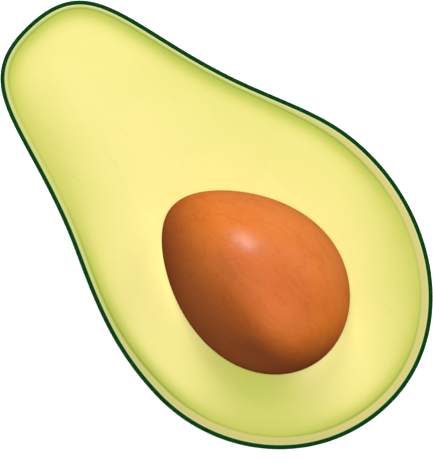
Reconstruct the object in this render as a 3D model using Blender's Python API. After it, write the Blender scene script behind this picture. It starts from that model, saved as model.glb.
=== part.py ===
"""Half of a pear-shaped avocado, cut lengthways, lying on its skin with its stone in place.

Three pieces: the skin, a thin bowl; the flesh, which fills it up to the flat cut face; and the
stone, an egg that is sunk to half its height in a hollow of the flesh. The neck points to -X and
the fat end to +X. The cut face is level and faces +Z. The fruit stands at z = 0 on a small flat
spot of its underside, and the origin is under the middle of its length and width.
"""

from math import cos, pi, radians, sin

import bmesh
import bpy
from mathutils import Matrix, Vector

# ---------------------------------------------------------------- driving sizes (metres, radians)
LENGTH = 0.118                # neck tip to fat end
WIDTH = 0.0725                # across the two cheeks, at the belly
DEPTH = 0.0355                # cut face to the lowest point, before the resting spot is taken off
BELLY_FROM_BASE = 0.0400      # widest place of the cut face, from the fat end
BELLY_STAGGER = 0.0025        # the +Y cheek is fullest this much nearer the neck, the -Y one less
KEEL_FROM_BASE = 0.0455       # deepest place of the underside, from the fat end
SHOULDER_WIDTH = 0.0546       # across the shoulders, where the neck widens fastest
SHOULDER_DEPTH = 0.0270       # cut face to the underside of the shoulders
SHOULDER_FROM_TIP = 0.0447    # the shoulders' place, from the neck tip
SHOULDER_SLOPE = radians(23)  # how fast each side runs out there
RESTING_SPOT = 0.0011         # height that the flat resting spot takes off the underside

SKIN = 0.0010                 # thickness of the skin
STONE_LENGTH = 0.0481
STONE_WIDTH = 0.0362          # across the stone, half-way along it
STONE_BOW = 0.0008            # both ends of the stone bend this much to the -Y side
STONE_FROM_BASE = 0.0421      # middle of the stone, from the fat end
STONE_ASIDE = -0.0019         # the stone's middle lies a little to the -Y side
STONE_TURN = radians(3.6)     # and its long axis is turned by this about +Z
GAP = 0.0003                  # clearance between pieces that touch

# ---------------------------------------------------------------- shape factors (no unit)
# How far each curve handle reaches, as a share of the run along or across its own stretch.
TIP_FULLNESS = 0.76           # the blunt neck tip
SHOULDER_TO_TIP = 0.665
SHOULDER_TO_BELLY = 0.58      # of the shorter run, so that the side never swings past the belly
BELLY_TO_SHOULDER = 0.39
BELLY_TO_BASE = 0.525
BASE_FULLNESS = 0.58          # the round fat end
STONE_TAPER = 0.16            # the stone is fatter towards the fat end
STONE_BLUNTNESS = 0.08        # and both its ends are drawn in

# ---------------------------------------------------------------- fineness of the meshes
OUTLINE_STEPS = (14, 11, 13)  # tip to shoulder, shoulder to belly, belly to fat end
GIRTH_STEPS = 22              # from one cheek under the keel to the other
STONE_RINGS = 20
STONE_SIDES = 32

CUT_HEIGHT = DEPTH - RESTING_SPOT


def new_material(name, colour, roughness):
    """A plain finish: a Principled shader with a linear colour and a roughness."""
    material = bpy.data.materials.new(name)
    material.use_nodes = True
    material.diffuse_color = (*colour, 1.0)
    shader = material.node_tree.nodes["Principled BSDF"]
    shader.inputs["Base Color"].default_value = (*colour, 1.0)
    shader.inputs["Roughness"].default_value = roughness
    shader.inputs["Metallic"].default_value = 0.0
    return material


def new_object(name, mesh_builder, material, parent):
    """Turn a bmesh into a named object under the given parent."""
    mesh = bpy.data.meshes.new(name)
    bmesh.ops.recalc_face_normals(mesh_builder, faces=mesh_builder.faces)
    mesh_builder.to_mesh(mesh)
    mesh_builder.free()
    mesh.shade_smooth()
    mesh.set_sharp_from_angle(angle=radians(40))
    if material:
        mesh.materials.append(material)
    piece = bpy.data.objects.new(name, mesh)
    bpy.context.scene.collection.objects.link(piece)
    piece.parent = parent
    return piece


def cubic(start, handle_1, handle_2, end, t):
    """A point of a Bezier curve and the curve's heading there."""
    s = 1.0 - t
    point = start * s**3 + handle_1 * 3 * s * s * t + handle_2 * 3 * s * t * t + end * t**3
    heading = (handle_1 - start) * s**2 + (handle_2 - handle_1) * 2 * s * t + (end - handle_2) * t**2
    return point, heading.normalized()


def half_outline(belly_reach, belly_from_base, shoulder_reach, inset):
    """One side of the lengthways outline, neck tip to fat end, as (x, reach from the axis).

    The same rule gives both cheeks and the keel. An inset moves it inwards, square to itself.
    """
    tip = Vector((-LENGTH / 2, 0.0))
    shoulder = Vector((-LENGTH / 2 + SHOULDER_FROM_TIP, shoulder_reach))
    belly = Vector((LENGTH / 2 - belly_from_base, belly_reach))
    base = Vector((LENGTH / 2, 0.0))
    widening = Vector((cos(SHOULDER_SLOPE), sin(SHOULDER_SLOPE)))
    along = Vector((1.0, 0.0))
    outwards = Vector((0.0, 1.0))
    run_along = belly.x - shoulder.x
    run_out = (belly_reach - shoulder_reach) / sin(SHOULDER_SLOPE)
    free_run = min(run_along, run_out)
    stretches = (
        (tip, tip + outwards * TIP_FULLNESS * shoulder_reach,
         shoulder - widening * SHOULDER_TO_TIP * SHOULDER_FROM_TIP, shoulder),
        (shoulder, shoulder + widening * SHOULDER_TO_BELLY * free_run,
         belly - along * BELLY_TO_SHOULDER * run_along, belly),
        (belly, belly + along * BELLY_TO_BASE * belly_from_base,
         base + outwards * BASE_FULLNESS * belly_reach, base),
    )
    outline = []
    for stretch, steps in zip(stretches, OUTLINE_STEPS):
        first = 1 if outline else 0
        for step in range(first, steps + 1):
            point, heading = cubic(*stretch, step / steps)
            outline.append(point + Vector((heading.y, -heading.x)) * inset)
    return outline


def add_bowl(builder, inset):
    """Add the open bowl of the fruit's underside, set in by inset, and return its rim in order.

    The cut face is at z = 0 here. The rim runs from the neck tip along +Y to the fat end and back
    along -Y.
    """
    left_belly = BELLY_FROM_BASE + BELLY_STAGGER
    right_belly = BELLY_FROM_BASE - BELLY_STAGGER
    left_cheek = half_outline(WIDTH / 2, left_belly, SHOULDER_WIDTH / 2, inset)
    right_cheek = half_outline(WIDTH / 2, right_belly, SHOULDER_WIDTH / 2, inset)
    keel = half_outline(DEPTH, KEEL_FROM_BASE, SHOULDER_DEPTH, inset)
    last = len(keel) - 1

    ribs = []
    for row in range(1, last):
        rib = []
        for step in range(GIRTH_STEPS + 1):
            angle = pi * step / GIRTH_STEPS
            side = left_cheek if 2 * step <= GIRTH_STEPS else right_cheek
            sideways, downwards = cos(angle), sin(angle)
            x = side[row].x * sideways**2 + keel[row].x * downwards**2
            rib.append(builder.verts.new((x, side[row].y * sideways, -keel[row].y * downwards)))
        ribs.append(rib)
    tip = builder.verts.new((keel[0].x, 0.0, 0.0))
    base = builder.verts.new((keel[last].x, 0.0, 0.0))

    faces = []
    for step in range(GIRTH_STEPS):
        faces.append(builder.faces.new((tip, ribs[0][step], ribs[0][step + 1])))
        faces.append(builder.faces.new((base, ribs[-1][step + 1], ribs[-1][step])))
        for near, far in zip(ribs, ribs[1:]):
            faces.append(builder.faces.new((near[step], far[step], far[step + 1], near[step + 1])))
    take_off_resting_spot(builder, faces, inset - CUT_HEIGHT)

    there = [rib[0] for rib in ribs]
    back = [rib[-1] for rib in reversed(ribs)]
    return [tip, *there, base, *back]


def take_off_resting_spot(builder, faces, height):
    """Cut the bowl level at a height and close it with one flat face."""
    part_of_bowl = {element for face in faces for element in (face, *face.verts, *face.edges)}
    cut = bmesh.ops.bisect_plane(
        builder, geom=list(part_of_bowl), dist=0.000001,
        plane_co=(0.0, 0.0, height), plane_no=(0.0, 0.0, -1.0), clear_outer=True)
    edges = [element for element in cut["geom_cut"] if isinstance(element, bmesh.types.BMEdge)]
    bmesh.ops.edgeloop_fill(builder, edges=edges)


def build_skin(parent):
    """The skin: an outer and an inner bowl, joined by the narrow rim that the knife left."""
    builder = bmesh.new()
    outer = add_bowl(builder, 0.0)
    inner = add_bowl(builder, SKIN)
    for index in range(len(outer)):
        following = (index + 1) % len(outer)
        builder.faces.new((outer[index], outer[following], inner[following], inner[index]))
    material = new_material("avocado_skin", (0.0020, 0.0610, 0.0150), 0.45)
    return new_object("skin", builder, material, parent)


def egg(grow):
    """The stone's shape about its own middle, with its long axis on X, grown outwards by grow."""
    builder = bmesh.new()
    upright = bmesh.ops.create_uvsphere(
        builder, u_segments=STONE_SIDES, v_segments=STONE_RINGS, radius=1.0)
    lay_down = Matrix.Rotation(pi / 2, 3, "Y")
    half_side = Matrix.Rotation(pi / STONE_SIDES, 3, "X")
    for vertex in upright["verts"]:
        along, sideways, height = half_side @ lay_down @ vertex.co
        girth = 1.0 + STONE_TAPER * along - STONE_BLUNTNESS * along**2
        reach = (STONE_WIDTH / 2 + grow) * girth
        bow = STONE_BOW * along**2
        vertex.co = ((STONE_LENGTH / 2 + grow) * along, reach * sideways - bow, reach * height)
    return builder


def place_in_hollow(piece):
    """Put a piece where the stone lies, with its middle on the cut face."""
    piece.location = (LENGTH / 2 - STONE_FROM_BASE, STONE_ASIDE, 0.0)
    piece.rotation_euler = (0.0, 0.0, STONE_TURN)


def build_stone(parent):
    """The stone, an egg that half stands above the cut face."""
    material = new_material("avocado_stone", (0.7450, 0.1900, 0.0360), 0.35)
    stone = new_object("stone", egg(0.0), material, parent)
    place_in_hollow(stone)
    return stone


def build_flesh(parent):
    """The flesh: it fills the skin up to the cut face, and a hollow takes the stone."""
    builder = bmesh.new()
    rim = add_bowl(builder, SKIN + GAP)
    builder.faces.new(rim)
    material = new_material("avocado_flesh", (0.9560, 0.8630, 0.3000), 0.50)
    flesh = new_object("flesh", builder, material, parent)

    hollow = new_object("stone_hollow", egg(GAP), None, parent)
    place_in_hollow(hollow)
    hollow.hide_render = True
    hollow.display_type = "WIRE"

    scoop = flesh.modifiers.new("scoop", "BOOLEAN")
    scoop.operation = "DIFFERENCE"
    scoop.solver = "EXACT"
    scoop.object = hollow
    return flesh


def main():
    for old in list(bpy.data.objects):
        bpy.data.objects.remove(old)
    cut_face = bpy.data.objects.new("cut_face_middle", None)
    bpy.context.scene.collection.objects.link(cut_face)
    cut_face.location = (0.0, 0.0, CUT_HEIGHT)
    build_skin(cut_face)
    build_flesh(cut_face)
    build_stone(cut_face)


main()
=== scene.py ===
# %% [markdown]
# # Half an avocado with its stone
#
# This lesson dresses a plain model of a cut avocado. The fruit was halved lengthways and lies on
# its skin, so we look down on the flat cut face and on the stone that still sits in its hollow.
# The plain model is loaded as a fixed frame. It says how large everything is and where it lies,
# and three fine meshes take the place of its three coarse ones: the skin, the flesh and the stone.
# All lengths are in metres, so a size in millimetres is written as a number times MM.

# %% Load the frame and keep its box
from math import cos, pi, radians, sin

import bmesh
import bpy
import numpy as np
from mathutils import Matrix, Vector, kdtree, noise


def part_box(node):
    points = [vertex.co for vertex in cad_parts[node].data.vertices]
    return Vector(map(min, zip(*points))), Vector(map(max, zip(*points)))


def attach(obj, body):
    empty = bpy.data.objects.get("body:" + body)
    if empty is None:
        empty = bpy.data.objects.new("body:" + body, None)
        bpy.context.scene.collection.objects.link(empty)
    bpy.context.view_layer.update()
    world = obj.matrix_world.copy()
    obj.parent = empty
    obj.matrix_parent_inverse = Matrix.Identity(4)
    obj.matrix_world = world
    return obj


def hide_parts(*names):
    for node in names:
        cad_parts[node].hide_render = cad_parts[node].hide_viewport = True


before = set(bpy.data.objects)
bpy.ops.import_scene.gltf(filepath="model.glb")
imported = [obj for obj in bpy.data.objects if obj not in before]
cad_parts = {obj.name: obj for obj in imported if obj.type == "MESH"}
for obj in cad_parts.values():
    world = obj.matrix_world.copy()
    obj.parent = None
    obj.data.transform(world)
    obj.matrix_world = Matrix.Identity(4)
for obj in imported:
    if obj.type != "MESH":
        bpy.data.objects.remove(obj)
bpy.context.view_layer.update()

MM = 0.001
skin_low, skin_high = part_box("skin")
_, stone_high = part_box("stone")
LENGTH = skin_high.x - skin_low.x
WIDTH = skin_high.y - skin_low.y
CUT_HEIGHT = skin_high.z
print("length, width and height of the cut face in mm:",
      [round(size / MM, 2) for size in (LENGTH, WIDTH, CUT_HEIGHT)])
print("the stone stands above it by", round((stone_high.z - CUT_HEIGHT) / MM, 2), "mm")

# %% [markdown]
# ## The fruit's outline
#
# An avocado of this kind is a pear: a blunt neck, sides that run out into shoulders, a belly and
# a round fat end. We could trace it with many points, but three Bezier curves per side say the
# same with four places and their handles, and they stay smooth however finely they are read.
# One rule gives the left cheek, the right cheek and the keel, which is the line along the
# underside. The two cheeks differ a little, as they do on a fruit that grew against a twig.

# %% Places and handles of the outline
RESTING_SPOT = 1.1 * MM       # height that the flat resting spot takes off the underside
DEPTH = CUT_HEIGHT + RESTING_SPOT
BELLY_FROM_BASE = 40.0 * MM   # widest place of the cut face, from the fat end
BELLY_STAGGER = 2.5 * MM      # the +Y cheek is fullest this much nearer the neck, the -Y one less
KEEL_FROM_BASE = 45.5 * MM    # deepest place of the underside, from the fat end
SHOULDER_WIDTH = 54.6 * MM    # where the neck widens fastest
SHOULDER_DEPTH = 27.0 * MM
SHOULDER_FROM_TIP = 44.7 * MM
SHOULDER_SLOPE = radians(23)  # how fast each side runs out there
# How far each curve handle reaches, as a share of the run along or across its own stretch.
TIP_FULLNESS, SHOULDER_TO_TIP, SHOULDER_TO_BELLY = 0.76, 0.665, 0.58
BELLY_TO_SHOULDER, BELLY_TO_BASE, BASE_FULLNESS = 0.39, 0.525, 0.58
print("the belly is", BELLY_FROM_BASE / MM, "mm from the fat end")

# %% The curve of one side
def half_outline(belly_reach, belly_from_base, shoulder_reach, inset, steps):
    """One side of the outline, neck tip to fat end: an array of (x, reach from the axis)."""
    tip = np.array((-LENGTH / 2, 0.0))
    shoulder = np.array((-LENGTH / 2 + SHOULDER_FROM_TIP, shoulder_reach))
    belly = np.array((LENGTH / 2 - belly_from_base, belly_reach))
    base = np.array((LENGTH / 2, 0.0))
    widening = np.array((cos(SHOULDER_SLOPE), sin(SHOULDER_SLOPE)))
    along, outwards = np.array((1.0, 0.0)), np.array((0.0, 1.0))
    run_out = (belly_reach - shoulder_reach) / sin(SHOULDER_SLOPE)
    run_along = belly[0] - shoulder[0]
    stretches = (
        (tip, tip + outwards * TIP_FULLNESS * shoulder_reach,
         shoulder - widening * SHOULDER_TO_TIP * SHOULDER_FROM_TIP, shoulder),
        (shoulder, shoulder + widening * SHOULDER_TO_BELLY * min(run_along, run_out),
         belly - along * BELLY_TO_SHOULDER * run_along, belly),
        (belly, belly + along * BELLY_TO_BASE * belly_from_base,
         base + outwards * BASE_FULLNESS * belly_reach, base),
    )
    rows = []
    for (p0, p1, p2, p3), count in zip(stretches, steps):
        t = np.linspace(0, 1, count + 1)[1 if rows else 0:, None]
        s = 1 - t
        point = p0 * s**3 + 3 * p1 * s * s * t + 3 * p2 * s * t * t + p3 * t**3
        heading = (p1 - p0) * s * s + 2 * (p2 - p1) * s * t + (p3 - p2) * t * t
        heading /= np.linalg.norm(heading, axis=1)[:, None]
        rows.append(point + np.stack((heading[:, 1], -heading[:, 0]), 1) * inset)
    return np.concatenate(rows)


FINE_STEPS = (66, 52, 62)     # tip to shoulder, shoulder to belly, belly to fat end


def cheeks_and_keel(inset, steps=FINE_STEPS):
    """The left cheek (+Y), the right cheek (-Y) and the keel, set in by inset."""
    cheek, shoulder = WIDTH / 2, SHOULDER_WIDTH / 2
    left = half_outline(cheek, BELLY_FROM_BASE + BELLY_STAGGER, shoulder, inset, steps)
    right = half_outline(cheek, BELLY_FROM_BASE - BELLY_STAGGER, shoulder, inset, steps)
    keel = half_outline(DEPTH, KEEL_FROM_BASE, SHOULDER_DEPTH, inset, steps)
    return left, right, keel


def rim_loop(inset, steps=FINE_STEPS):
    """The outline of the cut face, set in by inset: tip, left cheek, fat end, right cheek."""
    left, right, _ = cheeks_and_keel(inset, steps)
    return np.concatenate((left, (right * (1, -1))[-2:0:-1]))


outer_rim = rim_loop(0.0)
print("rim of", len(outer_rim), "points, half widths in mm:",
      (outer_rim[:, 1].max() / MM).round(2), (-outer_rim[:, 1].min() / MM).round(2))

# %% [markdown]
# ## A bowl under the rim
#
# The underside is a bowl. Each rib of it is half an ellipse that hangs from the left cheek under
# the keel to the right cheek. We could sculpt it, but a grid of ribs is quick to compute and gives
# every point a direction outwards for free: it is the step from a slightly smaller bowl to this
# one. A fruit lies on a small flat spot, so a soft limit stops the lowest points at the floor.

# %% Grid of a bowl
RIM_ROUNDING = 0.12 * MM      # radius of the skin's two cut edges
LIMIT_EASE = 0.12 * MM        # the underside eases into its flat spot over this


def soft_limit(height, limit):
    """Heights that ease to a limit instead of passing it."""
    return limit + LIMIT_EASE * np.logaddexp(0.0, (height - limit) / LIMIT_EASE)


def bowl_grid(inset, girth_steps):
    """Points of a bowl as (rows, girth, 3), measured from the cut face, its rim just below it."""
    left, right, keel = cheeks_and_keel(inset)
    angle = np.linspace(0, pi, girth_steps + 1)[None, :]
    sideways, downwards = np.cos(angle), np.sin(angle)
    on_left = sideways >= 0
    reach = np.where(on_left, left[:, 1:], right[:, 1:]) * sideways
    side_x = np.where(on_left, left[:, :1], right[:, :1])
    x = side_x * sideways**2 + keel[:, :1] * downwards**2
    z = -keel[:, 1:] * downwards * (1 - RIM_ROUNDING / DEPTH) - RIM_ROUNDING
    return np.stack((x, reach, z), 2)


def bowl_faces(grid, first):
    """Faces of a bowl whose first and last rows are single points; also its rim, in order."""
    rows, girth, _ = grid.shape

    def at(row, step):
        if row == 0:
            return first
        if row == rows - 1:
            return first + 1 + (rows - 2) * girth
        return first + 1 + (row - 1) * girth + step

    faces = []
    for row in range(rows - 1):
        for step in range(girth - 1):
            corners = (at(row, step), at(row + 1, step), at(row + 1, step + 1), at(row, step + 1))
            faces.append(tuple(dict.fromkeys(corners)))
    there = [at(row, 0) for row in range(rows)]
    back = [at(row, girth - 1) for row in range(rows - 2, 0, -1)]
    return faces, there + back


def bowl_points(grid):
    """The grid as a list of points, its two end rows as one point each."""
    return np.concatenate((grid[0, :1], grid[1:-1].reshape(-1, 3), grid[-1, :1]))


print("a bowl has", bowl_grid(0.0, 12).shape[0], "ribs from neck tip to fat end")

# %% Helpers that make a mesh from loops
def strip(loop, following):
    """Faces between two closed loops of as many points."""
    count = len(loop)
    return [(loop[i], loop[(i + 1) % count], following[(i + 1) % count], following[i])
            for i in range(count)]


def join_rings(faces, rim, first, how_many):
    """Add strips from a rim through rings whose points are numbered on from first."""
    for _ in range(how_many):
        following = list(range(first, first + len(rim)))
        faces += strip(rim, following)
        rim = following
        first += len(rim)
    return rim, first


def make_piece(name, points, faces, marks=None):
    """A smooth, closed mesh object; marks are values per point that a material can read."""
    mesh = bpy.data.meshes.new(name)
    mesh.from_pydata([tuple(point) for point in points], [], faces)
    builder = bmesh.new()
    builder.from_mesh(mesh)
    bmesh.ops.recalc_face_normals(builder, faces=builder.faces)
    open_edges = sum(edge.is_boundary for edge in builder.edges)
    builder.to_mesh(mesh)
    builder.free()
    mesh.shade_smooth()
    for mark, values in (marks or {}).items():
        layer = mesh.attributes.new(mark, "FLOAT", "POINT")
        layer.data.foreach_set("value", np.asarray(values, np.float32))
    piece = bpy.data.objects.new(name, mesh)
    bpy.context.scene.collection.objects.link(piece)
    print(name, "has", len(mesh.polygons), "faces and", open_edges, "open edges")
    return piece


print("two loops of 4 points are joined by", len(strip(range(4), range(4, 8))), "faces")

# %% [markdown]
# ## The skin
#
# The skin is about a millimetre thick and leathery. Outside it has low pebbles a few millimetres
# across, broad soft swells, a corky scar where the stem sat and a tiny one at the fat end. Bump
# maps would fake the pebbles, but they vanish at the silhouette, so the pebbles, swells and scars
# are real height, pushed along the outward direction. They fade out towards the knife's cut, and
# the finer grain is left to the material.

# %% Heights of the skin's surface
SKIN_RIM = 0.92 * MM          # the skin's thickness at the cut
PEBBLE = 2.1 * MM             # spacing of the pebbles
PEBBLE_HEIGHT = 0.13 * MM
SWELL = 17.0 * MM             # spacing of the broad swells
SWELL_HEIGHT = 0.35 * MM
GROW_IN = (0.2 * MM, 5.0 * MM)      # below the cut, pebbles and swells grow in over this
SCAR_BELOW_CUT = 8.0 * MM
SCAR_RADIUS = 3.1 * MM
SCAR_DEPTH = 0.8 * MM
SCAR_LIP, SCAR_LIP_WIDTH = 0.35 * MM, 0.55 * MM
BLOSSOM_BELOW_CUT = 9.0 * MM
BLOSSOM_RADIUS = 0.9 * MM
BLOSSOM_DEPTH = 0.3 * MM
END_ROWS = 60                 # rows of the keel that fall away from either end


def step_up(value, low, high):
    """0 below low, 1 above high and a smooth rise between."""
    t = np.clip((value - low) / (high - low), 0.0, 1.0)
    return t * t * (3 - 2 * t)


def keel_point(below_cut, end):
    """The point of the keel line at a depth below the cut, near the neck tip or the fat end."""
    _, _, keel = cheeks_and_keel(0.0)
    half = keel[:END_ROWS] if end == "tip" else keel[-END_ROWS:][::-1]
    return np.array((np.interp(below_cut, half[:, 1], half[:, 0]), 0.0, -below_cut))


scar_place = keel_point(SCAR_BELOW_CUT, "tip")
blossom_place = keel_point(BLOSSOM_BELOW_CUT, "base")


def skin_height(points):
    """How far each point of the skin stands out from the plain bowl."""
    pebbles, swells = [], []
    for point in points:
        place = Vector(point)
        near = noise.voronoi(place / PEBBLE)[0]
        pebbles.append(1.0 - min(1.0, near[0] / max(near[1], 1e-6)))
        swells.append(noise.noise(place / SWELL))
    height = PEBBLE_HEIGHT * np.sqrt(np.array(pebbles)) + SWELL_HEIGHT * np.array(swells)
    height *= step_up(-points[:, 2], *GROW_IN)

    from_scar = np.linalg.norm(points - scar_place, axis=1)
    lip = SCAR_LIP * np.exp(-((from_scar - SCAR_RADIUS) / SCAR_LIP_WIDTH) ** 2)
    dish = -SCAR_DEPTH * (1 - step_up(from_scar, 0.6 * SCAR_RADIUS, 0.95 * SCAR_RADIUS))
    height = height * step_up(from_scar, SCAR_RADIUS, 2 * SCAR_RADIUS) + lip + dish
    from_blossom = np.linalg.norm(points - blossom_place, axis=1)
    pit = 1 - step_up(from_blossom, 0.2 * BLOSSOM_RADIUS, 1.6 * BLOSSOM_RADIUS)
    return height - BLOSSOM_DEPTH * pit


print("the stem scar lies at", (scar_place / MM).round(1), "mm from the cut face's middle")

# %% Build the skin
SKIN_GIRTH = 132              # steps from one cheek under the keel to the other
HIDDEN_GIRTH = SKIN_GIRTH // 6      # the bowls that nobody sees can be coarser
HAIR = 0.1 * MM               # a bowl smaller by this gives the outward direction
CORNER = 0.3 * RIM_ROUNDING   # a rounded corner passes this far from both of its sides


def outer_bowl():
    """The outside of the skin, with its pebbles and scars, and how its points are joined."""
    grid = bowl_grid(0.0, SKIN_GIRTH)
    points = bowl_points(grid)
    outwards = points - bowl_points(bowl_grid(HAIR, SKIN_GIRTH))
    outwards /= np.linalg.norm(outwards, axis=1)[:, None]
    points = points + outwards * skin_height(points)[:, None]
    points[:, 2] = soft_limit(points[:, 2], -CUT_HEIGHT)
    faces, rim = bowl_faces(grid, 0)
    return points, faces, rim


def hidden_bowl(inset, first):
    """A plain, coarser bowl, set in by inset; its points are numbered on from first."""
    grid = bowl_grid(inset, HIDDEN_GIRTH)
    points = bowl_points(grid)
    points[:, 2] = soft_limit(points[:, 2], inset - CUT_HEIGHT)
    faces, rim = bowl_faces(grid, first)
    return points, faces, rim


def build_skin():
    """The outer bowl, the narrow cut edge with two rounded corners, and the inner bowl."""
    points, faces, rim = outer_bowl()
    profile = ((CORNER, CORNER), (RIM_ROUNDING, 0.0), (SKIN_RIM / 2, 0.0),
               (SKIN_RIM - RIM_ROUNDING, 0.0), (SKIN_RIM - CORNER, CORNER))
    rings = []
    for inset, below in profile:
        ring = rim_loop(inset)
        rings.append(np.column_stack((ring, np.full(len(ring), -below))))
    edge_faces = []
    rim, total = join_rings(edge_faces, rim, len(points), len(rings))

    inner_points, inner_faces, inner_rim = hidden_bowl(SKIN_RIM, total)
    edge_faces += strip(rim, inner_rim)
    all_points = np.concatenate((points, *rings, inner_points)) + (0, 0, CUT_HEIGHT)
    piece = make_piece("avocado_skin", all_points, faces + inner_faces + edge_faces)
    return piece, len(faces) + len(inner_faces)


skin, first_cut_edge_face = build_skin()

# %% [markdown]
# ## The stone
#
# The stone is an egg with its fat end towards the fruit's fat end. A squashed sphere would look
# like a bead, so its girth follows a rule: it tapers, both ends are drawn in, and the whole stone
# bends a little to one side. Slow noise then takes the perfection off the half that shows. The
# hollow in the flesh uses the same rule, grown by a hair, so the two always fit.

# %% The stone's shape
STONE_LENGTH = 48.1 * MM
STONE_WIDTH = 36.2 * MM
STONE_BOW = 0.8 * MM
STONE_TAPER, STONE_BLUNTNESS = 0.16, 0.08
STONE_TURN = radians(3.6)
STONE_PLACE = np.array((LENGTH / 2 - 42.1 * MM, -1.9 * MM))
STONE_RINGS, STONE_SIDES = 110, 160
STONE_ROUGHNESS = 0.16 * MM
STONE_WAVES, STONE_RIPPLES = 11 * MM, 4 * MM
RIPPLE_SHARE = 0.35
DRAWN_IN = 0.6                # keeps the rough surface inside the plain egg
SMOOTH_BELOW = (0.0, 5 * MM)  # above the cut, the roughness grows in over this

# One row of plan points times this turns them by STONE_TURN.
turn = np.array(((cos(STONE_TURN), sin(STONE_TURN)), (-sin(STONE_TURN), cos(STONE_TURN))))


def egg_reach(along, grow):
    """Radius of the egg at a place along its axis, from -1 at the narrow end to 1."""
    girth = 1 + STONE_TAPER * along - STONE_BLUNTNESS * along**2
    return (STONE_WIDTH / 2 + grow) * girth * np.sqrt(np.maximum(1 - along**2, 0.0))


def egg_points(along, angle, grow=0.0):
    """Points of the egg in the fruit's frame, measured from the cut face."""
    reach = egg_reach(along, grow)
    flat = np.stack(((STONE_LENGTH / 2 + grow) * along,
                     reach * np.cos(angle) - STONE_BOW * along**2), -1) @ turn + STONE_PLACE
    return np.concatenate((flat, (reach * np.sin(angle))[..., None]), -1)


def egg_outline(grow, count):
    """The egg's outline at the cut face, as plan points."""
    tilt = np.linspace(0, 2 * pi, count, endpoint=False)
    return egg_points(np.cos(tilt), np.where(np.sin(tilt) >= 0, 0.0, pi), grow)[:, :2]


print("half-way along, the stone is", round(2 * egg_reach(0.0, 0.0) / MM, 2), "mm thick")

# %% Build the stone
def build_stone():
    """The egg as rings about its long axis, with a point at each end."""
    tilt = np.linspace(pi, 0, STONE_RINGS + 1)[1:-1]
    angle = np.linspace(0, 2 * pi, STONE_SIDES, endpoint=False)
    along, around = np.meshgrid(np.cos(tilt), angle, indexing="ij")
    body = egg_points(along, around).reshape(-1, 3)
    ends = egg_points(np.array((-1.0, 1.0)), np.zeros(2))
    points = np.concatenate((body, ends))
    middle = np.array((*STONE_PLACE, 0.0))
    outwards = points - middle
    outwards /= np.linalg.norm(outwards, axis=1)[:, None]
    waves = np.array([noise.noise(Vector(point) / STONE_WAVES) for point in points])
    ripples = np.array([noise.noise(Vector(point) / STONE_RIPPLES) for point in points])
    height = waves + RIPPLE_SHARE * ripples - DRAWN_IN
    height *= step_up(points[:, 2], *SMOOTH_BELOW)
    points += outwards * height[:, None] * STONE_ROUGHNESS
    loops = [list(range(row * STONE_SIDES, (row + 1) * STONE_SIDES)) for row in range(len(tilt))]
    faces = [face for near, far in zip(loops, loops[1:]) for face in strip(near, far)]
    narrow, fat = len(body), len(body) + 1
    faces += [(narrow, loops[0][(i + 1) % STONE_SIDES], loops[0][i]) for i in range(STONE_SIDES)]
    faces += [(fat, loops[-1][i], loops[-1][(i + 1) % STONE_SIDES]) for i in range(STONE_SIDES)]
    return make_piece("avocado_stone", points + (0, 0, CUT_HEIGHT), faces)


stone = build_stone()

# %% [markdown]
# ## The flesh
#
# The cut face looks flat, but a knife leaves it slightly crowned, with a faint crease where the
# firm green layer under the skin begins, and the lip of the hollow is rounded. We could cut the
# hollow with a Boolean, but then its lip would be sharp and its mesh untidy. Instead the face is
# built of closed loops: first loops set in from the rim by fixed distances, then loops that turn
# step by step into the stone's outline, then the round lip and the hollow itself.
#
# Each point also remembers how far it lies from the rim and from the stone. The material needs
# these two distances to paint the bands of colour that follow the skin.

# %% Measures of the cut face
FLESH_EDGE = SKIN_RIM + 0.02 * MM
HOLLOW_GAP = 0.03 * MM
LIP_RADIUS = 0.06 * MM
CROWN = 0.45 * MM
CROWN_RUN = 15 * MM           # the crown is reached this far inside the crease
CREASE_DEPTH = 0.13 * MM
CREASE_WIDTH = 0.3 * MM
CREASE_NEAR = 1.85 * MM       # the crease's distance from the rim round the neck
CREASE_FAR = 2.78 * MM        # and round the belly
CREASE_SHIFT = (-12 * MM, 24 * MM)  # it changes from one to the other between these places
CREASE_LEAN = 0.2             # the change comes sooner on the +Y side
BEVEL, BEVEL_WIDTH = 0.05 * MM, 0.15 * MM


def crease_distance(points):
    """How far from the rim the crease under the skin runs."""
    place = points[:, 0] + CREASE_LEAN * points[:, 1]
    return CREASE_NEAR + (CREASE_FAR - CREASE_NEAR) * step_up(place, *CREASE_SHIFT)


def face_height(points, from_rim, from_stone):
    """Height of the cut face above or below the knife's plane."""
    past_crease = from_rim - crease_distance(points)
    crease = -CREASE_DEPTH * np.exp(-((past_crease / CREASE_WIDTH) ** 2))
    crown = CROWN * step_up(past_crease, 0.0, CROWN_RUN)
    inside = np.clip(LIP_RADIUS - from_stone, 0.0, LIP_RADIUS)
    lip = LIP_RADIUS - np.sqrt(np.maximum(LIP_RADIUS**2 - inside**2, 0.0))
    bevel = BEVEL * (1 - step_up(from_rim, FLESH_EDGE, FLESH_EDGE + BEVEL_WIDTH))
    return crown + crease - lip - bevel


print("crease from", CREASE_NEAR / MM, "mm inside the rim at the neck to", CREASE_FAR / MM, "mm")

# %% Loops of the cut face
BAND_WIDTH = 3.6 * MM         # the bands of colour lie in here, so the loops are close
BAND_LOOPS = 19
WIDER_LOOPS = (4.2 * MM, 5.0 * MM)
OUTLINE_POINTS = 2000
SHELF = 2.0 * MM              # from here to the lip, the loops keep the stone's outline
TURNING_LOOPS = 43
LIP_LOOPS = (1.4, 0.95, 0.6, 0.35, 0.2, 0.12, 0.06, 0.035, 0.015, 0.0)     # mm from the lip


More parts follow.
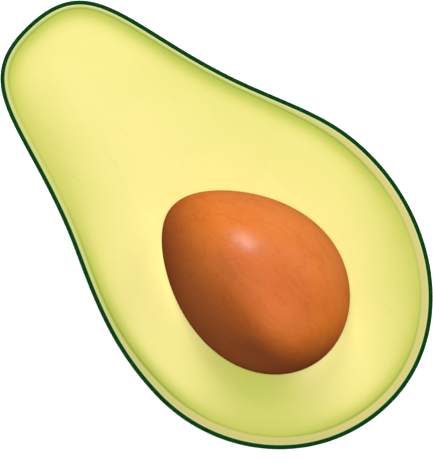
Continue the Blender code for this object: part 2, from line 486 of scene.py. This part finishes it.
def rays_to_outline(points, outline):
    """For each point, the way from the stone's middle to its outline in the same direction."""
    rays = outline - STONE_PLACE
    bearing = np.unwrap(np.arctan2(rays[:, 1], rays[:, 0]))
    wanted = np.arctan2(points[:, 1] - STONE_PLACE[1], points[:, 0] - STONE_PLACE[0])
    wanted = bearing[0] + (wanted - bearing[0]) % (2 * pi)
    closed_bearing = np.append(bearing, bearing[0] + 2 * pi)
    closed_rays = np.append(rays, rays[:1], axis=0)
    return np.stack([np.interp(wanted, closed_bearing, closed_rays[:, k]) for k in (0, 1)], 1)


def face_loops():
    """The cut face's loops, from the rim to the hollow, as plan points."""
    insets = np.concatenate((np.linspace(FLESH_EDGE, BAND_WIDTH, BAND_LOOPS), WIDER_LOOPS))
    loops = [rim_loop(inset) for inset in insets]
    start = loops[-1]
    ray = rays_to_outline(start, egg_outline(HOLLOW_GAP, OUTLINE_POINTS))
    unit = ray / np.linalg.norm(ray, axis=1)[:, None]
    lip_edge = STONE_PLACE + ray
    shelf = lip_edge + unit * SHELF
    for share in np.linspace(0, 1, TURNING_LOOPS + 1)[1:]:
        loops.append(start + (shelf - start) * share)
    for apart in LIP_LOOPS:
        loops.append(lip_edge + unit * apart * MM)
    return loops, lip_edge


print("the cut face is built of", len(face_loops()[0]), "loops")

# %% The hollow, and distances over the cut face
HOLLOW_RINGS = 24


def hollow_rings(lip_edge):
    """Rings of the hollow from its lip down, and its lowest point."""
    rings = []
    for latitude in np.linspace(0, pi / 2, HOLLOW_RINGS + 2)[1:-1]:
        flat = (lip_edge - STONE_PLACE) * cos(latitude)
        local = flat @ turn.T
        along = local[:, 0] / (STONE_LENGTH / 2 + HOLLOW_GAP)
        across = local[:, 1] + STONE_BOW * along**2
        down = np.sqrt(np.maximum(egg_reach(along, HOLLOW_GAP) ** 2 - across**2, LIP_RADIUS**2))
        rings.append(np.column_stack((flat + STONE_PLACE, -down)))
    bottom = np.array([[*STONE_PLACE, -egg_reach(0.0, HOLLOW_GAP)]])
    return rings, bottom


def distance_field(points, outline):
    """Distance of each point from a closed outline."""
    tree = kdtree.KDTree(len(outline))
    for index, (x, y) in enumerate(outline):
        tree.insert((x, y, 0.0), index)
    tree.balance()
    return np.array([tree.find((x, y, 0.0))[2] for x, y in points])


print("the hollow is", round(egg_reach(0.0, HOLLOW_GAP) / MM, 2), "mm deep")

# %% Build the flesh
FAR = 20 * MM                 # the mark of points that no band of colour reaches
FINER = 6                     # for the distances the rim is read this much finer
FINE_OUTLINE = 3000           # and the hollow's outline as this many points


def build_flesh():
    """Underside, cut face, lip and hollow as one closed mesh."""
    under, faces, rim = hidden_bowl(FLESH_EDGE, 0)
    loops, lip_edge = face_loops()
    plan = np.concatenate(loops)
    from_rim = distance_field(plan, rim_loop(0.0, tuple(FINER * step for step in FINE_STEPS)))
    from_stone = distance_field(plan, egg_outline(HOLLOW_GAP, FINE_OUTLINE))
    face = np.column_stack((plan, face_height(plan, from_rim, from_stone)))
    hollow, bottom = hollow_rings(lip_edge)
    rim, total = join_rings(faces, rim, len(under), len(loops) + len(hollow))
    faces += [(total, rim[i], rim[(i + 1) % len(rim)]) for i in range(len(rim))]

    points = np.concatenate((under, face, *hollow, bottom)) + (0, 0, CUT_HEIGHT)
    hidden = len(points) - len(under) - len(face)
    marks = {
        "from_rim": np.concatenate((np.full(len(under), FLESH_EDGE), from_rim,
                                    np.full(hidden, FAR))),
        "from_stone": np.concatenate((np.full(len(under), FAR), from_stone, np.zeros(hidden))),
    }
    return make_piece("avocado_flesh", points, faces, marks)


flesh = build_flesh()

# %% [markdown]
# ## Shader sums in Python
#
# A material's nodes can be wired by hand, but long sums turn into long lists of links. A small
# class lets us write the sums as Python: it holds one socket, and + - * / on it add Math nodes.
# Everything else comes from its one method `node`, which takes a node's type, its settings and its
# inputs. Colours and vectors never go through a Math node, because that would turn them grey, so
# they have their own helpers built on `node`.

# %% The Wire class
class Wire:
    """One socket of a node tree, usable in sums; without a socket, a start to add nodes from."""

    def __init__(self, tree, socket=None):
        self.tree = tree
        self.socket = socket

    def node(self, kind, settings=None, inputs=None, output=0):
        """Add a node: its settings first, then its inputs, and return one of its outputs."""
        made = self.tree.nodes.new(kind)
        for name, value in (settings or {}).items():
            if name == "stops":
                elements = made.color_ramp.elements
                while len(elements) < len(value):
                    elements.new(0.5)
                for element, (position, colour) in zip(elements, value):
                    element.position = position
                    element.color = (*colour, 1.0)
            else:
                setattr(made, name, value)
        for name, value in (inputs or {}).items():
            if isinstance(value, Wire):
                self.tree.links.new(value.socket, made.inputs[name])
            else:
                made.inputs[name].default_value = value
        return Wire(self.tree, made.outputs[output])

    def math(self, operation, *values):
        return self.node("ShaderNodeMath", {"operation": operation}, dict(enumerate(values)))

    def __add__(self, other):
        return self.math("ADD", self, other)

    __radd__ = __add__

    def __mul__(self, other):
        return self.math("MULTIPLY", self, other)

    __rmul__ = __mul__

    def __sub__(self, other):
        return self.math("SUBTRACT", self, other)

    def __rsub__(self, other):
        return self.math("SUBTRACT", other, self)

    def __truediv__(self, other):
        return self.math("DIVIDE", self, other)

    def __rtruediv__(self, other):
        return self.math("DIVIDE", other, self)

    def __neg__(self):
        return self.math("MULTIPLY", self, -1.0)

    def exp(self):
        return self.math("EXPONENT", self)

    def clamp(self):
        return self.math("MINIMUM", self.math("MAXIMUM", self, 0.0), 1.0)


print("a Wire can be used with + - * / and has", [name for name in vars(Wire) if name[0] != "_"])

# %% Helpers on top of it
def rise(value, low, high):
    """0 below low, 1 above high and a smooth rise between."""
    return value.node("ShaderNodeMapRange", {"interpolation_type": "SMOOTHSTEP"},
                      {"Value": value, "From Min": low, "From Max": high})


def hump(value, middle, half_width):
    """1 at the middle, falling off softly over the half width."""
    offset = (value - middle) / half_width
    return (-(offset * offset)).exp()


def fade(value, reach):
    """1 where the value is 0, down to about a third where it equals reach, and on towards 0."""
    return (-(value / reach)).exp()


def mix(mask, without, with_it):
    """One colour where the mask is 0 and the other where it is 1."""
    def as_colour(value):
        return value if isinstance(value, Wire) else (*value, 1.0)
    return mask.node("ShaderNodeMix", {"data_type": "RGBA"},
                     {0: mask, 6: as_colour(without), 7: as_colour(with_it)}, output=2)


def grain(place, size, detail=2.0, roughness=0.5, distortion=0.0):
    """Soft noise from 0 to 1 whose spots are about size across."""
    return place.node("ShaderNodeTexNoise", {"noise_dimensions": "3D"},
                      {"Vector": place, "Scale": 1.0 / size, "Detail": detail,
                       "Roughness": roughness, "Distortion": distortion})


def stretch(place, factors, turned=0.0):
    """Coordinates turned about Z and stretched, for marks that run one way."""
    return place.node("ShaderNodeMapping", {},
                      {"Vector": place, "Rotation": (0.0, 0.0, turned), "Scale": factors})


def split(place):
    """The x, y and z of a place."""
    x = place.node("ShaderNodeSeparateXYZ", {}, {"Vector": place})
    return [Wire(x.tree, output) for output in x.socket.node.outputs]


def patch(place, middle, heading, long_radius, wide_radius):
    """A soft oval patch, seen from above; its long radius is at an angle from +X."""
    x, y, _ = split(place)
    east, north = x - middle[0], y - middle[1]
    along = (east * cos(heading) + north * sin(heading)) / long_radius
    across = (north * cos(heading) - east * sin(heading)) / wide_radius
    return (-(along * along + across * across)).exp()


def distance_to(place, point):
    """Distance of a place from a point that is measured from the cut face."""
    return place.node("ShaderNodeVectorMath", {"operation": "DISTANCE"},
                      {0: place, 1: tuple(point + (0, 0, CUT_HEIGHT))}, output="Value")


print("masks: rise, hump, fade, patch; textures: grain, stretch; colours: mix")

# %% Start and end of a finish
def new_finish(name, **constants):
    """A material, its Principled shader, and the place of a point on the object, in metres."""
    finish = bpy.data.materials.new(name)
    finish.use_nodes = True
    tree = finish.node_tree
    shader = tree.nodes["Principled BSDF"]
    for socket, value in constants.items():
        shader.inputs[socket.replace("_", " ")].default_value = value
    return finish, shader, Wire(tree).node("ShaderNodeTexCoord", output="Object")


def plug(shader, **wires):
    """Connect wires to the shader's sockets."""
    for socket, wire in wires.items():
        wire.tree.links.new(wire.socket, shader.inputs[socket.replace("_", " ")])
    print("a finish of", len(shader.id_data.nodes), "nodes feeds", ", ".join(wires))


def bumps(height, distance):
    """A normal from a height of 0 to 1 that stands for a real distance."""
    return height.node("ShaderNodeBump", {}, {"Height": height, "Distance": distance},
                       output="Normal")


print("a finish starts with new_finish and ends with plug")

# %% [markdown]
# ## Colours under this studio's light
#
# A surface that faces straight up gets a known amount of light here, which is set with the lamps
# below. So a colour can be named as it should look, and divided by that amount to get the
# surface's own colour. Display values are curved, so they are first made linear.

# %% Tones
STUDIO_LEVEL = 1.38           # light on a level surface, 1 where white looks just white


def tone(red, green, blue):
    """A surface colour that looks like these display values, 0 to 255, when level and lit."""
    def linear(value):
        value /= 255
        return value / 12.92 if value <= 0.04045 else ((value + 0.055) / 1.055) ** 2.4
    return tuple(linear(value) / STUDIO_LEVEL for value in (red, green, blue))


print("a surface that looks pure white has the linear tone", round(tone(255, 255, 255)[0], 3))

# %% [markdown]
# ## Finish of the flesh
#
# Under the skin lies a hair of pale tissue, then a firm khaki band, a thin green line of painted
# shade where the crease runs, adding to the crease's own shading, and from there the green fades
# into buttery yellow. The bands follow the rim, so they are painted from the distance that each
# point remembers. The green reaches further in at some places than at others. Beside the stone
# the flesh gets a painted shadow that makes it greener below the stone, and painted light that
# makes it paler on its other shaded sides, both on top of the real shade there; a few soft patches
# take care of these. A picture painted on the face would do the same, but patches are a few
# numbers each and can be moved.

# %% Where things are on the cut face
SLANT = radians(46.7)         # heading of the patches that lie slantwise
FLESH_PATCHES = {             # middle x and y, heading, long and wide radius; lengths in mm
    "left_neck": (-35.0, -20.0, radians(-16), 23.0, 14.0),
    "right_belly": (38.0, 23.0, SLANT + pi / 2, 23.0, 12.0),
    "shoulder": (-12.0, 18.5, radians(17), 40.0, 8.0),
    # the next two are painted shadow of the stone on the flesh below it, on top of its real shadow
    "painted_stone_shadow": (32.8, -17.6, radians(14), 13.5, 7.5),
    "painted_stone_shadow_low": (37.5, -23.0, SLANT, 15.0, 11.0),
    "low_rim": (43.0, -24.0, SLANT, 20.0, 12.0),
    # the last two are painted light beside the stone, where its real shadow falls on the flesh
    "painted_light_side": (18.0, -30.0, 0.0, 13.0, 7.0),
    "painted_light_end": (46.0, -3.0, SLANT, 10.0, 10.0),
}


def flesh_patches(place):
    """Every soft patch of the flesh, as masks by name."""
    masks = {}
    for name, (x, y, heading, long_radius, wide_radius) in FLESH_PATCHES.items():
        masks[name] = patch(place, (x * MM, y * MM), heading, long_radius * MM, wide_radius * MM)
    return masks


def remembered(place, mark):
    """A value that each point of the mesh carries."""
    return place.node("ShaderNodeAttribute", {"attribute_name": mark}, output="Fac")


def belly_share(place):
    """0 round the neck and 1 round the belly, changing where the crease changes."""
    x, y, _ = split(place)
    return rise(x + y * CREASE_LEAN, *CREASE_SHIFT)


def stone_offset(place):
    """How far a place lies from the stone's middle, towards +X and towards +Y."""
    x, y, _ = split(place)
    return x - STONE_PLACE[0], y - STONE_PLACE[1]


print("the flesh has", len(FLESH_PATCHES), "soft patches")

# %% [markdown]
# ## How ripe the flesh looks
#
# One number carries the whole fade from green to yellow: ripeness, 0 at the crease and 1 far from
# it. Two curves are added, a quick one for the crisp green edge and a slow one for the faint green
# beyond it. Where the edge is soft, a longer and weaker curve takes over. A colour ramp then turns
# ripeness into colour, which is easier to adjust than many mixed colours.

# %% Ripeness and its colours
QUICK_FADE = 1.8 * MM
SLOW_FADE = 2.3 * MM
SOFT_FADE = 7.0 * MM
RIPENING = ((0.00, tone(176, 192, 72)), (0.22, tone(196, 205, 88)), (0.48, tone(216, 215, 108)),
            (0.74, tone(234, 229, 130)), (1.00, tone(250, 239, 150)))


def ripeness(past, slow, masks, soft_edge):
    """0 where the flesh is green, 1 where it is buttery; past is how far past the crease."""
    crisp = 0.60 * (1 - fade(past, QUICK_FADE)) + 0.40 * slow
    soft = 0.94 - 0.58 * fade(past, SOFT_FADE)
    return crisp + soft_edge * (soft - crisp) - 0.16 * masks["shoulder"]


def ripe_colour(ripe, masks, slow):
    """The ramp's colour, then painted shadow (greener) below the stone and painted light (paler)
    beside it.
    """
    colour = ripe.node("ShaderNodeValToRGB", {"stops": RIPENING}, {"Fac": ripe.clamp()})
    # painted shadow: the flesh below the stone is tinted greener, on top of its real shadow
    colour = mix(masks["painted_stone_shadow_low"] * 0.24, colour, tone(214, 220, 102))
    colour = mix(masks["painted_stone_shadow"] * 0.90, colour, tone(227, 238, 105))
    # painted light: paler flesh where the stone's real shade falls, to offset it
    painted_light = (masks["painted_light_side"] * 0.55 + masks["painted_light_end"] * 0.50) * slow
    return mix(painted_light, colour, tone(262, 253, 160))


print("ripeness runs through", len(RIPENING), "colours")

# %% [markdown]
# ## Bands under the skin and the rim of the hollow
#
# The bands are soft steps in the distance from the rim, and the line is painted shade, a narrow
# hump on the crease that adds to the crease's own shading. The flesh in the stone's shade would
# look too dark, so it is painted paler on the sides that face away from the lamp. More light would
# do it too, but it would flatten the stone.

# %% Bands and rim
HAIRLINE = (1.10 * MM, 1.38 * MM)   # between these distances pale tissue gives way to khaki
LINE_WIDTH = 0.24 * MM
PAINTED_LIGHT_FADE = 2.6 * MM        # the painted light that offsets the stone's shade fades over this


def rim_band(from_rim, past, belly):
    """Pale tissue, then khaki, a little yellower just before the crease."""
    khaki = mix(belly, tone(206, 211, 114), tone(219, 208, 126))
    band = mix(rise(from_rim, *HAIRLINE), tone(216, 224, 158), khaki)
    return mix(hump(past, -0.45 * MM, 0.25 * MM) * 0.5, band, tone(214, 214, 122))


def painted_light_by_stone(place, from_stone, painted_stone_shadow):
    """How much painted light makes the flesh beside the stone paler, where the stone darkens it.
    """
    east, north = stone_offset(place)
    shady_side = rise((-0.35 * east - 0.94 * north) / (18 * MM), 0.55, 1.1)
    fat_side = rise((0.97 * east - 0.22 * north) / (24 * MM), 0.6, 1.1)
    amount = (0.08 + 0.68 * shady_side + 0.60 * fat_side) * (1 - (1.5 * painted_stone_shadow).clamp())
    return fade(from_stone, PAINTED_LIGHT_FADE) * amount


print("the green line is", LINE_WIDTH / MM, "mm to either side of the crease")

# %% [markdown]
# ## Grain of the cut
#
# Last come the small things: clouds, fine strands from neck to base, pores, faint knife marks and
# a moist, barely waxy surface. Strands and knife marks are noise that is stretched one way. They
# are kept weak, because fresh flesh looks smooth from arm's length.

# %% Paint the flesh
def flesh_finish():
    """The flesh: ripeness, bands, painted shade on the crease, painted light by the stone, fine
    grain.
    """
    finish, shader, place = new_finish(
        "flesh_cut", Metallic=0.0, Specular_IOR_Level=0.35, Subsurface_Weight=0.12,
        Subsurface_Scale=1.5 * MM, Subsurface_Radius=(1.0, 0.8, 0.35))
    from_rim = remembered(place, "from_rim")
    belly = belly_share(place)
    past = from_rim - (CREASE_NEAR + (CREASE_FAR - CREASE_NEAR) * belly)
    slow = 1 - hump(past, 0.0, SLOW_FADE)
    masks = flesh_patches(place)
    soft_edge = (1.2 * masks["left_neck"] + masks["right_belly"] + 0.9 * masks["low_rim"]).clamp()

    cloud = grain(place, 9 * MM, 3.0) - 0.5
    strands = rise(grain(stretch(place, (0.10, 1.0, 1.0)), 0.9 * MM, 3.0, 0.6, 0.4), 0.58, 0.74)
    pores = rise(grain(place, 0.5 * MM, 1.0), 0.70, 0.78)
    ripe = ripeness(past, slow, masks, soft_edge) + cloud * 0.10
    ripe = ripe - 0.07 * strands * slow - 0.05 * pores

    base = mix(rise(past, -0.25 * MM, 0.15 * MM), rim_band(from_rim, past, belly),
               ripe_colour(ripe, masks, slow))
    # painted shade: a darker green line on the crease, added to the crease's real shading
    line = hump(past, 0.0, LINE_WIDTH) * (0.90 - 0.75 * soft_edge)
    base = mix(line, base, tone(160, 178, 62))
    painted_light_near_stone = painted_light_by_stone(place, remembered(place, "from_stone"), masks["painted_stone_shadow"])
    # painted light: the flesh beside the stone is made paler, to offset the stone's real shade
    # there
    base = mix(painted_light_near_stone, base, tone(296, 284, 182))

    wet = grain(place, 2.5 * MM, 2.0)
    knife = grain(stretch(place, (1.0, 0.06, 1.0), radians(35)), 0.7 * MM, 2.0)
    height = grain(place, 0.28 * MM, 2.0) * 0.4 + strands * 0.3 + knife * 0.3 - pores * 0.5
    plug(shader, Base_Color=base, Roughness=0.40 + 0.18 * wet, Normal=bumps(height, 0.02 * MM))
    return finish


# %% [markdown]
# ## Finish of the skin
#
# Outside, the skin is a deep bottle green with lighter flecks between its pebbles, tiny pale
# breathing pores, and a brown, corky scar at the stem. It shines dully, more on the pebbles than
# between them. The edge that the knife cut is the same green but matt and even, so it gets a
# finish of its own. Both are made of noise at the scales that a real skin shows. The scar's cork
# is lighter between a dark ring and a dark heart, where the stem's strands broke off.

# %% Greens and scars of the skin
def cells(place, size, feature):
    """A pattern of cells: the distance to their edges or to their middles."""
    return place.node("ShaderNodeTexVoronoi", {"feature": feature},
                      {"Vector": place, "Scale": 1 / size}, output="Distance")


def skin_green(place, broad, pebble, breathing):
    """Bottle green in broad clouds, lighter between the pebbles, with pores and rusty spots."""
    green = mix(broad, tone(6, 54, 20), tone(20, 80, 30))
    green = mix((1 - pebble) * 0.40, green, tone(46, 108, 40))
    green = mix(breathing * 0.6, green, tone(136, 156, 84))
    rust = rise(grain(place, 5 * MM, 4.0, 0.6), 0.66, 0.80)
    return mix(rust * 0.35, green, tone(92, 84, 44))


def stem_scar(place):
    """Where the stem's scar is, and the colour of its cork."""
    from_scar = distance_to(place, scar_place)
    ragged = from_scar + (grain(place, 1.2 * MM, 3.0) - 0.5) * (1.1 * MM)
    scar = 1 - rise(ragged, 0.95 * SCAR_RADIUS, 1.25 * SCAR_RADIUS)
    heart = 1 - rise(ragged, 0.10 * SCAR_RADIUS, 0.45 * SCAR_RADIUS)
    ring = hump(ragged, 0.98 * SCAR_RADIUS, 0.45 * MM)
    cork = mix(rise(grain(place, 0.5 * MM, 4.0), 0.3, 0.7), tone(84, 60, 36), tone(178, 146, 98))
    cork = mix(heart * 0.6, cork, tone(62, 46, 30))
    return scar, mix(ring * 0.85, cork, tone(54, 42, 28))


print("the stem scar is", 2 * SCAR_RADIUS / MM, "mm across")

# %% Paint the skin
def skin_finish():
    """The outside and the inside of the skin."""
    finish, shader, place = new_finish("skin_outside", Metallic=0.0, Specular_IOR_Level=0.24)
    pebble = rise(cells(place, 1.7 * MM, "DISTANCE_TO_EDGE"), 0.02, 0.30)
    broad = rise(grain(place, 16 * MM, 3.0), 0.35, 0.68)
    dots = cells(place, 3.1 * MM, "F1") + (grain(place, 0.8 * MM) - 0.5) * 0.12
    breathing = 1 - rise(dots, 0.05, 0.13)
    scar, cork = stem_scar(place)
    base = mix(scar, skin_green(place, broad, pebble, breathing), cork)
    from_blossom = distance_to(place, blossom_place)
    blossom = 1 - rise(from_blossom, 0.6 * BLOSSOM_RADIUS, 1.5 * BLOSSOM_RADIUS)
    base = mix(blossom, base, tone(88, 66, 40))

    rough = 0.50 - 0.12 * pebble + 0.10 * broad + 0.30 * scar
    height = pebble * 0.7 + grain(place, 0.4 * MM, 3.0) * 0.3 - breathing * 0.3
    plug(shader, Base_Color=base, Roughness=rough.clamp(), Normal=bumps(height, 0.07 * MM))
    return finish


def cut_edge_finish():
    """The narrow edge that the knife left: the same green, matt and even."""
    finish, shader, place = new_finish("skin_cut_edge", Metallic=0.0, Specular_IOR_Level=0.05)
    fleck = grain(place, 0.8 * MM, 3.0)
    base = mix(rise(fleck, 0.35, 0.7), tone(0, 60, 12), tone(8, 74, 22))
    plug(shader, Base_Color=base, Roughness=0.6 + 0.2 * fleck,
         Normal=bumps(grain(place, 0.25 * MM), 0.01 * MM))
    return finish


# %% [markdown]
# ## Finish of the stone
#
# A fresh stone has a smooth, tight coat, orange-brown, with faint veins that branch along it. Its
# darker flank and fat end are painted shade, added to the lamps' own shading, and its far side,
# where the lamps fall most, is painted a little duller. Wood grain would be too regular and plain
# noise too cloudy, so the veins come from noise that is stretched along the stone and kept only
# near its middle value, which draws thin, wandering lines. They are cut a hair into the surface.

# %% Colour zones of the stone
CROWN_PATCHES = (             # middle from the stone's own, long and wide radius, all in mm
    (2.2, 2.4, 8.0, 5.0, tone(208, 98, 46)),         # ruddy
    (9.4, -2.2, 7.0, 4.5, tone(246, 128, 60)),       # warm
)


def stone_axes(place):
    """How far along the stone a place lies, from -1 at the narrow end to 1, and how far across."""
    east, north = stone_offset(place)
    along = (east * cos(STONE_TURN) + north * sin(STONE_TURN)) / (STONE_LENGTH / 2)
    across = (north * cos(STONE_TURN) - east * sin(STONE_TURN)) / (STONE_WIDTH / 2)
    return along, across


def painted_shade_zone(along, across, narrow):
    """Where painted shade darkens the stone: an umber flank into the fat end; narrow is along,
    kept below 0.
    """
    middle = 0.36 * narrow * narrow - 0.38 - 0.05 * rise(along, 0.0, 0.35)
    width = 1.2 - 0.75 * rise(along, 0.0, 0.5)
    flank = rise((middle - across) / width, -0.5, 0.5)
    fat_end = rise(along - 0.42 * across, 0.68, 1.15)
    return 1 - (1 - flank) * (1 - fat_end)


def stone_colour(place, along, across, broad):
    """Orange-brown; painted shade: duller on the lit far side, umber on the dark side; two crown
    patches.
    """
    narrow = along.math("MINIMUM", along, 0.0)
    base = mix(broad, tone(217, 110, 37), tone(225, 124, 47))
    # painted shade: the far side, which the lamps light most, is made duller to soften that
    painted_shade_lit_side = rise(across - 0.35 * narrow, 0.15, 1.0)
    base = mix(painted_shade_lit_side * 0.8, base, tone(214, 124, 64))
    # painted shade: umber on the flank and the fat end, on top of the lamps' own shading
    umber = mix(rise(-across, 0.4, 1.0), tone(130, 67, 35), tone(152, 81, 42))
    base = mix(painted_shade_zone(along, across, narrow), base, umber)
    for x, y, long_radius, wide_radius, colour in CROWN_PATCHES:
        middle = (STONE_PLACE[0] + x * MM, STONE_PLACE[1] + y * MM)
        soft = patch(place, middle, STONE_TURN, long_radius * MM, wide_radius * MM)
        base = mix(soft * 0.50, base, colour)
    return base


print("the stone's axis is turned by", round(STONE_TURN, 3), "radians")

# %% [markdown]
# ## Shine of the stone
#
# The shine is a clear coat on the crown only. On the flanks it would mirror the flesh and the
# floor at a flat angle, which turns a brown edge grey, so there the weight of the coat is zero.
# The shader's ordinary shine is switched off, because it has one strength all over.

# %% Paint the stone
def stone_veins(place):
    """Thin wandering lines along the stone, large and small ones."""
    drawn = stretch(place, (0.30, 1.0, 1.0), -STONE_TURN)
    large = hump(grain(drawn, 4.2 * MM, 4.0, 0.55, 0.6), 0.5, 0.022)
    small = hump(grain(drawn, 1.9 * MM, 3.0, 0.55, 0.5), 0.5, 0.03)
    return (large * 0.8 + small * 0.35).clamp()


def stone_finish():
    """The stone: colour zones with painted shade, veins, specks, the pale spot at its fat end, its
    shine.
    """
    finish, shader, place = new_finish("stone_coat", Metallic=0.0, Specular_IOR_Level=0.0,
                                       Coat_IOR=1.5, Coat_Roughness=0.33)
    along, across = stone_axes(place)
    broad = rise(grain(place, 14 * MM, 2.0), 0.30, 0.70)
    veins = stone_veins(place)
    base = mix(veins * 0.16, stone_colour(place, along, across, broad), tone(120, 58, 26))
    speck = rise(grain(place, 0.6 * MM, 2.0), 0.64, 0.76)
    base = mix(speck * 0.12, base, tone(246, 168, 110))
    hilum = 1 - rise(1 - along, 0.004, 0.030)
    base = mix(hilum * 0.5, base, tone(170, 104, 58))

    rough = 0.30 + 0.04 * broad + 0.10 * veins
    height = grain(place, 0.5 * MM, 3.0) * 0.35 - veins * 0.65
    _, _, z = split(place)
    top = rise(z, CUT_HEIGHT + 12.5 * MM, CUT_HEIGHT + 17 * MM)
    crown = top * rise(across, -0.5, -0.05)
    plug(shader, Base_Color=base, Roughness=rough.clamp(), Coat_Weight=crown,
         Normal=bumps(height, 0.015 * MM))
    return finish


# %% Dress the pieces
skin.data.materials.append(skin_finish())
skin.data.materials.append(cut_edge_finish())
for polygon in skin.data.polygons[first_cut_edge_face:]:
    polygon.material_index = 1
flesh.data.materials.append(flesh_finish())
stone.data.materials.append(stone_finish())

for piece, node in ((skin, "skin"), (flesh, "flesh"), (stone, "stone")):
    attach(piece, "root")
    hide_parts(node)
    print(piece.name, "stands for", node, "and rides on root")

# %% [markdown]
# ## Floor, light and camera
#
# The stage is plain: a pale floor, an even white surround and three soft lamps. The floor glows a
# little, like a light table, so the fruit's own shade hardly shows on it. Most light comes from a
# wide lamp overhead. A smaller one beyond the top of the view sets the shine on the stone's crown,
# and a low third one to the right lifts the forms. A lamp that would mirror in the wet surfaces at
# the wrong place is hidden from reflections, which is easier than moving it.
#
# The camera hangs over the cut face and looks straight down, with a long lens so that nothing is
# stretched, and it is turned so that the fruit lies slantwise.

# %% Floor and surround
FLOOR_SIZE = 4.0              # metres
FLOOR_GLOW = 0.42             # a light table: it keeps the fruit's own shade off the floor
SURROUND = 0.36               # strength of the even white light from all round
WHITE = (1.0, 1.0, 1.0, 1.0)


def build_stage():
    """A pale floor that isn't part of the object, and the surround."""
    bpy.ops.mesh.primitive_plane_add(size=FLOOR_SIZE, location=(0.0, 0.0, 0.0))
    floor = bpy.context.active_object
    floor.name = "floor"
    finish, shader, place = new_finish("pale_floor", Metallic=0.0, Specular_IOR_Level=0.1)
    pale = mix(grain(place, 20 * MM), (0.93, 0.93, 0.925), (0.95, 0.95, 0.95))
    plug(shader, Base_Color=pale, Roughness=0.8 + 0.1 * grain(place, 4 * MM))
    shader.inputs["Emission Color"].default_value = WHITE
    shader.inputs["Emission Strength"].default_value = FLOOR_GLOW
    floor.data.materials.append(finish)

    world = bpy.data.worlds.new("studio")
    world.use_nodes = True
    background = world.node_tree.nodes["Background"]
    background.inputs["Color"].default_value = WHITE
    background.inputs["Strength"].default_value = SURROUND
    bpy.context.scene.world = world


build_stage()

# %% Lamps
VIEW_TURN = radians(46.7)     # how far the camera is turned about +Z
view_right = Vector((cos(VIEW_TURN), sin(VIEW_TURN), 0.0))
view_up = Vector((-sin(VIEW_TURN), cos(VIEW_TURN), 0.0))
cut_middle = Vector((4.46 * MM, -1.54 * MM, CUT_HEIGHT))     # the camera hangs over this


def lamp(name, bearing, elevation, distance, size, power, shines=True):
    """A soft lamp, its size as width and height; its bearing is clockwise from the view's top."""
    light = bpy.data.lights.new(name, "AREA")
    light.shape = "RECTANGLE"
    light.size, light.size_y = size
    light.energy = power
    lamp_object = bpy.data.objects.new(name, light)
    bpy.context.scene.collection.objects.link(lamp_object)
    level = view_up * cos(bearing) + view_right * sin(bearing)
    away = level * cos(elevation) + Vector((0.0, 0.0, sin(elevation)))
    lamp_object.location = cut_middle + away * distance
    lamp_object.rotation_euler = away.to_track_quat("Z", "Y").to_euler()
    lamp_object.visible_glossy = shines
    lamp_object.visible_camera = False
    print(name, "gives", power, "W from", distance, "m away")


lamp("ceiling_lamp", bearing=0.0, elevation=radians(90), distance=1.4, size=(0.6, 0.6),
     power=13.9, shines=False)
lamp("streak_lamp", bearing=radians(-9), elevation=radians(35), distance=0.9,
     size=(0.24, 0.44), power=4.3)
lamp("side_lamp", bearing=radians(50), elevation=radians(22), distance=1.2,
     size=(0.5, 0.35), power=3.6, shines=False)

# %% Camera
LENS = 250.0                  # millimetres, on a sensor 36 mm high
SENSOR = 36.0
VIEW_HEIGHT = 105.8 * MM      # what the view covers from top to bottom at the cut face


def build_camera():
    """A camera straight above the cut face, far enough away to see all of it."""
    camera = bpy.data.cameras.new("camera")
    camera.lens = LENS
    camera.sensor_width = SENSOR
    camera.clip_end = 20.0
    holder = bpy.data.objects.new("camera", camera)
    bpy.context.scene.collection.objects.link(holder)
    holder.location = cut_middle + Vector((0.0, 0.0, VIEW_HEIGHT * LENS / SENSOR))
    holder.rotation_euler = (0.0, 0.0, VIEW_TURN)
    bpy.context.scene.camera = holder
    print("the camera hangs", round(holder.location.z, 3), "m above the floor")


build_camera()
bpy.context.scene.view_settings.view_transform = "Standard"

# %% [markdown]
# ## Last step
#
# The scene is brought up to date.

# %% Bring the scene up to date
bpy.context.view_layer.update()
